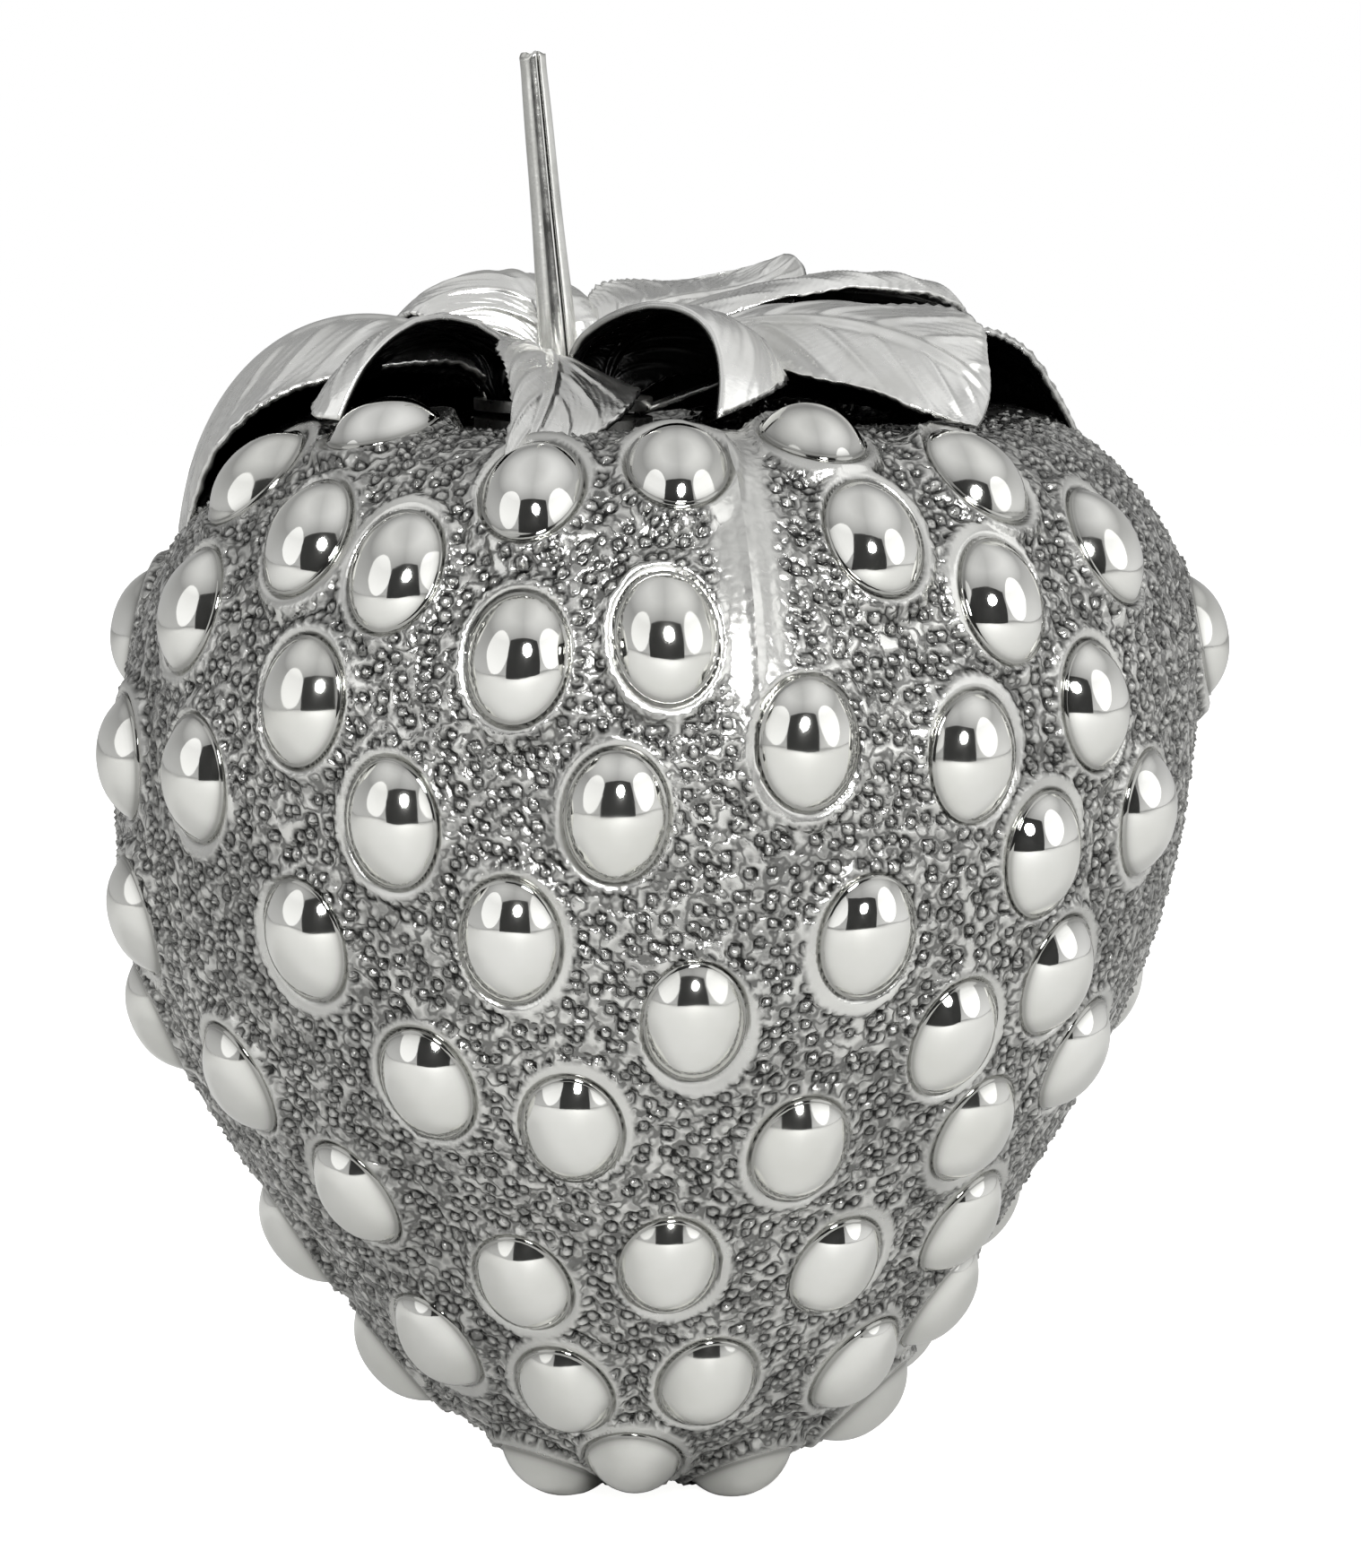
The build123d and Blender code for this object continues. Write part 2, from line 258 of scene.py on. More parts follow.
def seat_marks(point, normal):
    """What the seats do to the body: how far each moves a point, how flat it has been worked,
    how dark its broken foot line is, and how far the punch has marked the ground, all but the
    first from 0 to 1. A seat is the seed's tangent plane, with a groove round the seed and a lip
    outside that, which is set a little aside, and it blends out as a smooth step."""
    move, flat, dark = np.zeros((3, len(point)))
    marked = np.ones(len(point))
    chance = np.random.default_rng(31)
    for centre, along, cross, out in seats.values():
        aside = chance.uniform(-lip_aside, lip_aside, (len(centre), 2))
        for k in range(len(centre)):
            near = np.flatnonzero(np.abs(point[:, 2] - centre[k, 2]) < seat_reach)
            near = near[((point[near] - centre[k]) ** 2).sum(axis=1) < seat_reach**2]
            apart = point[near] - centre[k]
            up, over = apart @ along[k], apart @ cross[k]
            place = np.hypot(up / seed_half_length, over / seed_half_width)
            around = np.arctan2(over, up)
            lip = place + aside[k, 0] * np.cos(around) + aside[k, 1] * np.sin(around)
            fall = np.clip((seat_outer_end - place) / (seat_outer_end - seat_flat_end), 0, 1)
            weight = fall**2 * (3 - 2 * fall)
            level = -(apart @ out[k]) / np.maximum(normal[near] @ out[k], 0.3)
            raised = seat_lip_height * bump_profile(lip, seat_lip_place, 0.08)
            cut = seat_groove_depth * bump_profile(place, seat_groove_place, 0.05)
            better = weight > flat[near]
            move[near] = np.where(better, weight * level + raised - cut, move[near])
            flat[near] = np.maximum(weight, flat[near])
            broken = 0.25 + 0.75 * np.clip(np.sin(2 * around + 30 * aside[k, 0]) + 0.5, 0, 1)
            foot_line = broken * bump_profile(place, dark_line_place, 0.03)
            dark[near] = np.maximum(foot_line, dark[near])
            marked[near] *= np.clip((lip - punched_from) / (punched_fully - punched_from), 0, 1)
    return move, flat, dark, marked


def chased_surface(azimuth, travelled):
    """The worked body: the smooth one moved along its normal by the unevenness, the seats, the
    seam's bead and the marks. Returns the points, how dark each is, from 0 to 1, with tarnish in
    the grooves and foot lines and painted shade on the crown under the sepals, and how far the
    punch has marked it, from 0 in a seat to 1 on the open ground."""
    point, normal = body_surface(azimuth, travelled)
    radius = np.interp(travelled, profile_s, profile_r)
    move, flat, dark, marked = seat_marks(point, normal)
    rise = move + (1 - flat) * unevenness_height * unevenness(point)

    off_seam = radius * np.abs(np.sin(azimuth - np.radians(seam_azimuth)))
    high = np.clip((point[:, 2] - seam_low_end) / 5, 0, 1)
    smoothed = np.clip(1.6 * high * np.clip(1.5 - off_seam / seam_smooth_reach, 0, 1), 0, 1)
    marked *= 1 - 0.9 * smoothed
    rise += seam_bead_height * high * bump_profile(off_seam, 0, 0.28)
    rise -= 0.07 * high * bump_profile(off_seam, seam_smooth_reach, 0.4)

    beads, size = ring_marks(azimuth, travelled, radius, bead_pitch, 11)
    worms, worm_size = ring_marks(azimuth, travelled, radius, worm_pitch, 12)
    worm = marked * bump_profile(worms, 0, 0.22 * worm_size)
    groove = marked * bump_profile(beads, 0.36 * size, 0.13)
    bead = marked * bump_profile(beads, 0, 0.20)
    rise += bead_height * bead - bead_groove_depth * groove - worm_depth * worm
    tarnish_and_shade = np.clip(1.25 * groove + 0.6 * worm * (1 - bead), 0, 1)
    # Painted shade: the crown under the sepals is darkened, in the same mark as the tarnish.
    painted_crown_shade = 0.6 * np.clip((travelled / crest_s - 0.93) / 0.12, 0, 1)
    tarnish_and_shade = np.maximum(np.maximum(tarnish_and_shade, dark), painted_crown_shade)
    return point + normal * rise[:, None], tarnish_and_shade, marked


def half_shell(first_azimuth):
    """Rings of points a grain step apart over a half turn, with triangles zipped between each
    ring and the next. Returns points, triangles, the marks at each point, a flat layout, and
    where each ring's points and triangles start."""
    rings = int(profile_s[-1] / (0.9 * grain_step))
    stops = np.linspace(0, profile_s[-1], rings + 1)
    radii = np.interp(stops, profile_s, profile_r)
    counts = np.maximum(np.ceil(math.pi * radii / grain_step).astype(int), 1)
    counts[0] = 0
    starts = np.concatenate([[0], np.cumsum(counts + 1)])
    share = np.concatenate([np.arange(n + 1) / max(n, 1) for n in counts])
    azimuth = np.radians(first_azimuth) + math.pi * share
    travelled = np.repeat(stops, counts + 1)
    triangles, ends = [], [0]
    for k in range(rings):
        below, above = counts[k], counts[k + 1]
        key_below = (np.arange(below) + 0.5) / max(below, 1)
        key_above = (np.arange(above) + 0.5) / max(above, 1)
        j, i = np.arange(below), np.arange(above)
        reach_above = np.searchsorted(key_above, key_below, side="left")
        reach_below = np.searchsorted(key_below, key_above, side="right")
        a, b = starts[k], starts[k + 1]
        triangles.append(np.stack([a + j, a + j + 1, b + reach_above], axis=1))
        triangles.append(np.stack([b + i + 1, b + i, a + reach_below], axis=1))
        ends.append(ends[-1] + below + above)
    point, tarnish_and_shade, marked = chased_surface(azimuth, travelled)
    radius = np.interp(travelled, profile_s, profile_r)
    layout = np.stack([(share - 0.5) * math.pi * radius, travelled], axis=1)
    marks = {"tarnish_and_shade": tarnish_and_shade, "marked": marked}
    return point, np.concatenate(triangles), marks, layout, starts, np.array(ends)


def corner_normals(point, faces):
    """At each corner, the sum of the cross products of the two sides of every face there."""
    corners = point[faces]
    across = np.cross(corners[:, 1] - corners[:, 0], corners[:, 2] - corners[:, 0])
    total = np.zeros_like(point)
    for corner in range(3):
        for axis in range(3):
            total[:, axis] += np.bincount(faces[:, corner], across[:, axis], len(point))
    return total / np.maximum(np.linalg.norm(total, axis=1), 1e-12)[:, None]


def make_piece(name, point, faces, finish, stands_for, marks=None, layout=None, normals=None):
    """A smooth mesh of the given faces, its marks kept at its points by name, and its flat
    layout kept for the finish. It rides on the one body and stands for its part."""
    mesh = bpy.data.meshes.new(name)
    sides = faces.shape[1]
    mesh.vertices.add(len(point))
    mesh.vertices.foreach_set("co", (point * 0.001).astype(np.float32).ravel())
    mesh.loops.add(faces.size)
    mesh.loops.foreach_set("vertex_index", faces.astype(np.int32).ravel())
    mesh.polygons.add(len(faces))
    mesh.polygons.foreach_set("loop_start", (sides * np.arange(len(faces))).astype(np.int32))
    mesh.update(calc_edges=True)
    mesh.polygons.foreach_set("use_smooth", np.ones(len(faces), dtype=bool))
    for mark, values in (marks or {}).items():
        layer = mesh.attributes.new(mark, "FLOAT", "POINT")
        layer.data.foreach_set("value", values.astype(np.float32))
    if layout is not None:
        low, high = layout.min(axis=0), layout.max(axis=0)
        flat = (layout - low) / (high - low).max() * 0.98 + 0.01
        sheet = mesh.uv_layers.new(name="OFBake")
        sheet.data.foreach_set("uv", flat[faces.ravel()].astype(np.float32).ravel())
    if normals is not None:
        mesh.normals_split_custom_set_from_vertices(normals.tolist())
    mesh.materials.append(finish)
    piece = bpy.data.objects.new(name, mesh)
    bpy.context.scene.collection.objects.link(piece)
    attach(piece, "root")
    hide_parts(stands_for)


def node(tree, kind, place, **settings):
    """One node of a material, with its settings."""
    made = tree.nodes.new(kind)
    made.location = place
    for key, value in settings.items():
        setattr(made, key, value)
    return made


def stops_of(ramp, stops):
    """Gives a colour ramp its stops: place and grey value or colour."""
    elements = ramp.color_ramp.elements
    while len(elements) < len(stops):
        elements.new(0.5)
    for element, (place, tone) in zip(elements, stops):
        element.position = place
        element.color = tone if isinstance(tone, tuple) else (tone, tone, tone, 1)


def handling_group():
    """Handled silver: cloudy dulling in broad patches and fine hairlines. Clouds are noise of two
    sizes, hairlines are noise drawn out ten times along one direction."""
    group = bpy.data.node_groups.new("handled_silver", "ShaderNodeTree")
    face = group.interface
    face.new_socket("Size", in_out="INPUT", socket_type="NodeSocketFloat").default_value = 120
    face.new_socket("Clouds", in_out="OUTPUT", socket_type="NodeSocketFloat")
    face.new_socket("Hairlines", in_out="OUTPUT", socket_type="NodeSocketFloat")
    ins = node(group, "NodeGroupInput", (-900, 0))
    outs = node(group, "NodeGroupOutput", (500, 0))
    place = node(group, "ShaderNodeTexCoord", (-900, -250))
    cloud = node(group, "ShaderNodeTexNoise", (-500, 150))
    cloud.inputs["Detail"].default_value = 5
    cloud.inputs["Roughness"].default_value = 0.6
    ramp = node(group, "ShaderNodeValToRGB", (-250, 150))
    stops_of(ramp, [(0.36, 0.0), (0.68, 1.0)])
    drawn = node(group, "ShaderNodeMapping", (-700, -250))
    drawn.inputs["Rotation"].default_value = (0.4, 0.3, 0.7)
    drawn.inputs["Scale"].default_value = (300, 3000, 3000)
    hair = node(group, "ShaderNodeTexNoise", (-450, -250))
    hair.inputs["Scale"].default_value = 1.0
    hair.inputs["Detail"].default_value = 3
    link = group.links.new
    link(place.outputs["Object"], cloud.inputs["Vector"])
    link(ins.outputs["Size"], cloud.inputs["Scale"])
    link(cloud.outputs["Fac"], ramp.inputs["Fac"])
    link(place.outputs["Object"], drawn.inputs["Vector"])
    link(drawn.outputs["Vector"], hair.inputs["Vector"])
    link(ramp.outputs["Color"], outs.inputs["Clouds"])
    link(hair.outputs["Fac"], outs.inputs["Hairlines"])
    return group


handling = handling_group()


def silver(name, bright, dull, smooth, rough, cloud_size, hairline_depth):
    """Silver with its clouds and hairlines: colour and roughness go from the bright, smooth value
    to the dull, rough one with the clouds. Returns the material and its last bump."""
    material = bpy.data.materials.new(name)
    material.use_nodes = True
    tree = material.node_tree
    shader = tree.nodes["Principled BSDF"]
    shader.inputs["Metallic"].default_value = 1.0
    worn = node(tree, "ShaderNodeGroup", (-900, 100), node_tree=handling)
    worn.inputs["Size"].default_value = cloud_size
    colour = node(tree, "ShaderNodeMix", (-600, 250), data_type="RGBA")
    colour.inputs["A"].default_value = bright
    colour.inputs["B"].default_value = dull
    roughness = node(tree, "ShaderNodeMapRange", (-600, 0))
    roughness.inputs["To Min"].default_value = smooth
    roughness.inputs["To Max"].default_value = rough
    bump = node(tree, "ShaderNodeBump", (-300, -250))
    bump.inputs["Strength"].default_value = 1.0
    bump.inputs["Distance"].default_value = hairline_depth
    link = tree.links.new
    link(worn.outputs["Clouds"], colour.inputs["Factor"])
    link(worn.outputs["Clouds"], roughness.inputs["Value"])
    link(worn.outputs["Hairlines"], bump.inputs["Height"])
    link(colour.outputs["Result"], shader.inputs["Base Color"])
    link(roughness.outputs["Result"], shader.inputs["Roughness"])
    link(bump.outputs["Normal"], shader.inputs["Normal"])
    return material, bump


def tarnish_and_shade_over(tree, mask, tone):
    """Goes from the silver's own colour to a dark tone where the mask goes from 0 to 1; the tone
    is tarnish in some uses and painted shade in others.
    """
    shader = tree.nodes["Principled BSDF"]
    clean = shader.inputs["Base Color"].links[0].from_socket
    tarnish = node(tree, "ShaderNodeMix", (-300, 400), data_type="RGBA")
    tarnish.inputs["B"].default_value = tone
    tree.links.new(mask, tarnish.inputs["Factor"])
    tree.links.new(clean, tarnish.inputs["A"])
    tree.links.new(tarnish.outputs["Result"], shader.inputs["Base Color"])


def bump_over(tree, under, height, strength, depth):
    """Lays a second relief over the first one, with its depth in metres."""
    relief = node(tree, "ShaderNodeBump", (-100, -300))
    relief.inputs["Strength"].default_value = strength
    relief.inputs["Distance"].default_value = depth
    tree.links.new(height, relief.inputs["Height"])
    tree.links.new(under.outputs["Normal"], relief.inputs["Normal"])
    tree.links.new(relief.outputs["Normal"], tree.nodes["Principled BSDF"].inputs["Normal"])


def chased_finish():
    """The punched ground: close ring marks from the distance to scattered points, each a bead in a
    dark groove, over the bigger ones in the mesh. The mesh's dark mark holds black tarnish in its
    grooves and foot lines, and painted shade on the crown under the sepals."""
    bright, dull = (0.84, 0.84, 0.81, 1), (0.60, 0.60, 0.58, 1)
    material, bump = silver("chased_silver", bright, dull, 0.20, 0.34, 90, 0.000004)
    tree = material.node_tree
    place = node(tree, "ShaderNodeTexCoord", (-2100, -300))
    wander = node(tree, "ShaderNodeTexNoise", (-1900, -450))
    wander.inputs["Scale"].default_value = 900
    nudge = node(tree, "ShaderNodeVectorMath", (-1700, -300), operation="MULTIPLY_ADD")
    nudge.inputs[1].default_value = (0.00035, 0.00035, 0.00035)
    points = node(tree, "ShaderNodeTexVoronoi", (-1500, -300), feature="F1")
    points.inputs["Scale"].default_value = 900
    height = node(tree, "ShaderNodeValToRGB", (-1250, -200))
    stops_of(height, [(0.0, 1.0), (0.20, 0.85), (0.36, 0.0), (0.5, 0.35), (0.7, 0.62)])
    dark = node(tree, "ShaderNodeValToRGB", (-1250, -500))
    stops_of(dark, [(0.16, 0.0), (0.30, 0.45), (0.42, 0.45), (0.58, 0.0)])
    creep = node(tree, "ShaderNodeTexNoise", (-1500, -700))
    creep.inputs["Scale"].default_value = 950
    creep.inputs["Detail"].default_value = 1.5
    lines = node(tree, "ShaderNodeValToRGB", (-1250, -750))
    stops_of(lines, [(0.42, 0.0), (0.49, 0.75), (0.53, 0.75), (0.59, 0.0)])
    both = node(tree, "ShaderNodeMath", (-1050, -600), operation="MAXIMUM")
    cut = node(tree, "ShaderNodeMath", (-1050, -850), operation="MULTIPLY_ADD")
    cut.inputs[1].default_value = -0.55
    kept = node(tree, "ShaderNodeAttribute", (-1250, 300), attribute_name="marked")
    tarnish_and_shade_mark = node(tree, "ShaderNodeAttribute", (-1250, 500), attribute_name="tarnish_and_shade")
    fine = node(tree, "ShaderNodeMath", (-950, -200), operation="MULTIPLY")
    fine_dark = node(tree, "ShaderNodeMath", (-950, -450), operation="MULTIPLY")
    tarnish_and_shade_max = node(tree, "ShaderNodeMath", (-750, 450), operation="MAXIMUM")
    link = tree.links.new
    link(place.outputs["Object"], wander.inputs["Vector"])
    link(wander.outputs["Color"], nudge.inputs[0])
    link(place.outputs["Object"], nudge.inputs[2])
    link(nudge.outputs["Vector"], points.inputs["Vector"])
    link(points.outputs["Distance"], height.inputs["Fac"])
    link(points.outputs["Distance"], dark.inputs["Fac"])
    link(nudge.outputs["Vector"], creep.inputs["Vector"])
    link(creep.outputs["Fac"], lines.inputs["Fac"])
    link(lines.outputs["Color"], both.inputs[0])
    link(dark.outputs["Color"], both.inputs[1])
    link(lines.outputs["Color"], cut.inputs[0])
    link(height.outputs["Color"], cut.inputs[2])
    link(cut.outputs["Value"], fine.inputs[0])
    link(kept.outputs["Fac"], fine.inputs[1])
    link(both.outputs["Value"], fine_dark.inputs[0])
    link(kept.outputs["Fac"], fine_dark.inputs[1])
    link(tarnish_and_shade_mark.outputs["Fac"], tarnish_and_shade_max.inputs[0])
    link(fine_dark.outputs["Value"], tarnish_and_shade_max.inputs[1])
    # Black where the mesh's mark is: tarnish in the grooves, and painted shade on the crown under
    # the sepals.
    tarnish_and_shade_over(tree, tarnish_and_shade_max.outputs["Value"], (0.025, 0.025, 0.024, 1))
    bump_over(tree, bump, fine.outputs["Value"], 0.9, 0.00009)
    return material


chased_silver = chased_finish()


for name, first in (("shell_right", seam_azimuth), ("shell_left", seam_azimuth + 180)):
    point, faces, marks, layout, starts, ends = half_shell(first)
    normals = corner_normals(point, faces)
    third, two_thirds = np.searchsorted(ends, [ends[-1] / 3, ends[-1] * 2 / 3]).tolist()
    stops = (0, third, two_thirds, len(ends) - 1)
    for part, low, high in zip(("lower", "middle", "upper"), stops[:-1], stops[1:]):
        span = slice(starts[low], starts[high + 1])
        make_piece(
            f"{name}_{part}",
            point[span],
            faces[ends[low] : ends[high]] - starts[low],
            chased_silver,
            name,
            marks={mark: values[span] for mark, values in marks.items()},
            layout=layout[span],
            normals=normals[span],
        )


# ---------------------------------------------------------------------------------------
# Seeds: small half eggs of thin silver, pressed and mirror polished, each on a thin oval
# flange that sits down in its dished seat. The two lowest on each half are worn flat.
# ---------------------------------------------------------------------------------------
seed_height = 1.85
flange_width = 0.12
flange_top = 0.13
seed_foot = -0.40
dome_foot = 0.15
seed_sides = 36


def seed_mesh(centre, along, cross, out):
    """One row of seeds. With f as one less the square of the share of the way out, the dome
    stands at its height times f times (1.35 - 0.35 f), then come flange, edge and underside."""
    angle = np.linspace(0, math.pi / 2, 13)[1:]
    reach = np.concatenate([np.sin(angle), [1 + flange_width / seed_half_width] * 2])
    fall = 1 - np.sin(angle) ** 2
    dome = dome_foot + (seed_height - dome_foot) * fall * (1.35 - 0.35 * fall)
    level = np.concatenate([dome, [flange_top, seed_foot]])
    turn = np.arange(seed_sides) * 2 * math.pi / seed_sides
    x = np.concatenate([[0], np.outer(reach, np.cos(turn)).ravel() * seed_half_length, [0]])
    y = np.concatenate([[0], np.outer(reach, np.sin(turn)).ravel() * seed_half_width, [0]])
    z = np.concatenate([[seed_height], np.repeat(level, seed_sides), [seed_foot]])
    rings, last = len(reach), 1 + len(reach) * seed_sides
    k = np.arange(seed_sides)
    n = (k + 1) % seed_sides
    band = np.arange(rings - 1)[:, None] * seed_sides + 1
    quads = np.stack([band + k, band + seed_sides + k, band + seed_sides + n, band + n], axis=2)
    quads = quads.reshape(-1, 4)
    sides = np.concatenate([quads[:, [0, 1, 2]], quads[:, [0, 2, 3]]])
    cap = np.stack([np.zeros_like(k), 1 + k, 1 + n], axis=1)
    base = np.stack([np.full_like(k, last), last - seed_sides + n, last - seed_sides + k], axis=1)
    faces = np.concatenate([cap, sides, base])
    local = np.stack([x, y, z], axis=1)
    point = (
        centre[:, None]
        + local[None, :, :1] * along[:, None]
        + local[None, :, 1:2] * cross[:, None]
        + local[None, :, 2:] * out[:, None]
    )
    offsets = np.arange(len(centre)) * len(local)
    point = point.reshape(-1, 3)
    point[:, 2] = np.maximum(point[:, 2], 0)
    near_edge = np.repeat(np.minimum(reach, 1) ** 24, seed_sides)
    edge = np.tile(np.concatenate([[0], near_edge, [1]]), len(centre))
    return point, (faces[None] + offsets[:, None, None]).reshape(-1, 3), edge


def polished_finish():
    """Mirror silver, very slightly uneven from the press, with grey tarnish only where the dome
    meets its flange."""
    bright, dull = (0.90, 0.90, 0.87, 1), (0.82, 0.82, 0.78, 1)
    material, bump = silver("polished_silver", bright, dull, 0.035, 0.11, 160, 0.0000012)
    tree = material.node_tree
    rim = node(tree, "ShaderNodeAttribute", (-700, 500), attribute_name="edge")
    place = node(tree, "ShaderNodeTexCoord", (-900, -500))
    dents = node(tree, "ShaderNodeTexNoise", (-700, -500))
    dents.inputs["Scale"].default_value = 380
    dents.inputs["Detail"].default_value = 1
    tree.links.new(place.outputs["Object"], dents.inputs["Vector"])
    tarnish_and_shade_over(tree, rim.outputs["Fac"], (0.40, 0.40, 0.38, 1))
    bump_over(tree, bump, dents.outputs["Fac"], 1.0, 0.00007)
    return material


polished_silver = polished_finish()
for name, (centre, along, cross, out) in seats.items():
    point, faces, edge = seed_mesh(centre, along, cross, out)
    marks = {"edge": edge}
    make_piece(f"{name}_domes", point, faces, polished_silver, name, marks)


# ---------------------------------------------------------------------------------------
# Mouth collar, calyx discs and pin: turned and cut from plain silver, soldered one on the
# other in the mouth, and mostly hidden under the sepals, so they are dull and painted dark as
# shade.
# ---------------------------------------------------------------------------------------
# The dark base colours here are painted shade under the sepals.
plain_silver = silver(
    "plain_silver", (0.50, 0.50, 0.48, 1), (0.20, 0.20, 0.19, 1), 0.25, 0.42, 400, 0.000006
)[0]
for name in ("mouth_collar", "calyx_disc_lower", "calyx_disc_upper", "stem_pin"):
    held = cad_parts[name]
    held.data.materials.clear()
    held.data.materials.append(plain_silver)


# ---------------------------------------------------------------------------------------
# Sepals: ten leaves cut from half-millimetre silver sheet, bent over in two tiers, with
# chased veins and a crimped edge. Each hangs from its neck, which lies on a calyx disc.
# ---------------------------------------------------------------------------------------
sepal_thickness = 0.45
neck_reach = 4.5
neck_half_width = 1.4
side_veins = 8
vein_height = 0.17
chased_strokes = 27
stroke_depth = 0.045
waviness = 0.26
lower_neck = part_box("calyx_disc_lower")[1][2] * 1000
upper_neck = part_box("calyx_disc_upper")[1][2] * 1000

# For each sepal: the azimuth and level of its neck, then three rows across the leaf, at a
# third, two thirds and the end, each of four points (x, y, z) from one margin to the other.
sepals = {
    "sepal_left": (
        (-84, upper_neck),
        ((-14.5, 6, 67.6), (-15, 2.5, 71.8), (-14.8, -2, 71.8), (-14, -5.5, 70)),
        ((-22, 8, 65), (-23, 2.5, 70.4), (-23.2, -3.5, 69.8), (-22.6, -8.3, 67.8)),
        ((-28.4, 1.5, 60.6), (-28.8, -1, 60), (-28.8, -2.5, 59.2), (-28.4, -3.8, 58.8)),
    ),
    "sepal_front_left": (
        (-46, lower_neck),
        ((-13.5, -3.5, 69.3), (-12, -2.8, 70.8), (-10.5, -2, 70.8), (-8.5, -1.2, 69.6)),
        ((-19.3, -9.5, 68.4), (-15.5, -7.5, 71.8), (-11.5, -5, 72.4), (-8, -3, 70)),
        ((-18.2, -14.4, 67), (-15.6, -12.5, 71.7), (-11.9, -9, 73), (-7.4, -5, 70.3)),
    ),
    "sepal_front": (
        (-8, upper_neck),
        ((-8.9, -8, 71), (-7.4, -7.5, 71.2), (-4.5, -7.5, 70), (-1.5, -8, 69)),
        ((-8.3, -16.5, 69.8), (-6.8, -16, 70), (-4, -15.5, 69), (-0.9, -15.5, 68)),
        ((-8.2, -25.5, 65), (-8, -26, 64.7), (-7.6, -26, 64.6), (-7, -25.5, 64.8)),
    ),
    "sepal_front_right": (
        (34, lower_neck),
        ((-4.6, -2.2, 69), (-2.8, -2.6, 70.6), (0.2, -3.5, 71), (2.5, -4, 69.2)),
        ((-4.5, -3, 69.6), (-2, -5, 72.2), (3.5, -8, 72.8), (7.8, -9.5, 69.6)),
        ((-4.9, -5, 69.4), (-2.5, -10, 73), (2.4, -13.5, 73.5), (4.1, -18, 67.4)),
    ),
    "sepal_right_front": (
        (66, upper_neck),
        ((5, -6.5, 69.7), (5.5, -5.5, 71.7), (6, -3.5, 72.8), (6, 0, 72.3)),
        ((13.2, -15.5, 68.7), (14, -13, 71), (15, -9.5, 72.8), (16, -5.5, 73.4)),
        ((19.5, -14, 66.6), (20, -13, 67.5), (20.3, -12, 69), (19.9, -10.5, 70.6)),
    ),
    "sepal_right": (
        (97, lower_neck),
        ((13, -4, 71.3), (12.5, -1.5, 71), (11.8, 2.5, 70.2), (10.5, 7.5, 67)),
        ((21.5, -4, 71.3), (21, -1, 71), (19.8, 3, 69.8), (17.5, 8.5, 66)),
        ((26.3, -0.5, 65.5), (26.2, 0.2, 65.3), (26.1, 0.9, 65.2), (25.9, 1.6, 65.1)),
    ),
    "sepal_right_back": (
        (130, upper_neck),
        ((5, 1, 72.5), (4.5, 3, 73.4), (2.5, 8, 72.4), (-1, 14, 66.6)),
        ((14, 4, 74), (13.7, 6.5, 74.8), (12.5, 11, 72), (10.5, 17.5, 66)),
        ((20, 11, 72.2), (19.9, 11.7, 72), (19.7, 12.4, 72), (19.3, 13, 72)),
    ),
    "sepal_back_right": (
        (162, lower_neck),
        ((1, 2.5, 71.5), (0, 3.5, 72.3), (-1.5, 4.5, 72.8), (-4, 6, 73.4)),
        ((6, 5, 71.6), (5, 7, 73.2), (3, 9, 73.8), (-1.5, 9, 74)),
        ((9.6, 9, 74.4), (9.4, 10.5, 75.4), (8.8, 12, 75.8), (8, 13, 75.6)),
    ),
    "sepal_back": (
        (-158, upper_neck),
        ((-1.5, 4, 69.5), (-4.5, 4, 72.3), (-8.5, 4, 72.8), (-11.5, 3, 71.3)),
        ((-1.5, 11, 71), (-6.5, 9.5, 74.2), (-11.5, 7.5, 74.6), (-15.5, 5.5, 72)),
        ((-5, 17, 67.6), (-8, 17.5, 67.4), (-11.5, 16.5, 67.4), (-15, 14, 67.6)),
    ),
    "sepal_back_left": (
        (-120, lower_neck),
        ((-7, 11, 66.6), (-10.5, 7, 71), (-13.2, 3, 71.6), (-14.5, 1, 70.6)),
        ((-13, 17.5, 65.8), (-17.8, 12.5, 70.2), (-20.5, 8, 71.2), (-21, 5.5, 69.5)),
        ((-24.5, 12.5, 67.8), (-24.8, 11.8, 67.7), (-25.2, 11, 67.6), (-25.5, 10, 67.5)),
    ),
}


def cubic_through(share):
    """Weights of the cubic through four values at shares 0, 1/3, 2/3 and 1: for each value, the
    product over the others of the distance from their share over the distance between them."""
    stations = np.array([0, 1, 2, 3]) / 3
    weights = np.ones((4, share.size))
    for k in range(4):
        for other in range(4):
            if other != k:
                weights[k] *= (share - stations[other]) / (stations[k] - stations[other])
    return weights


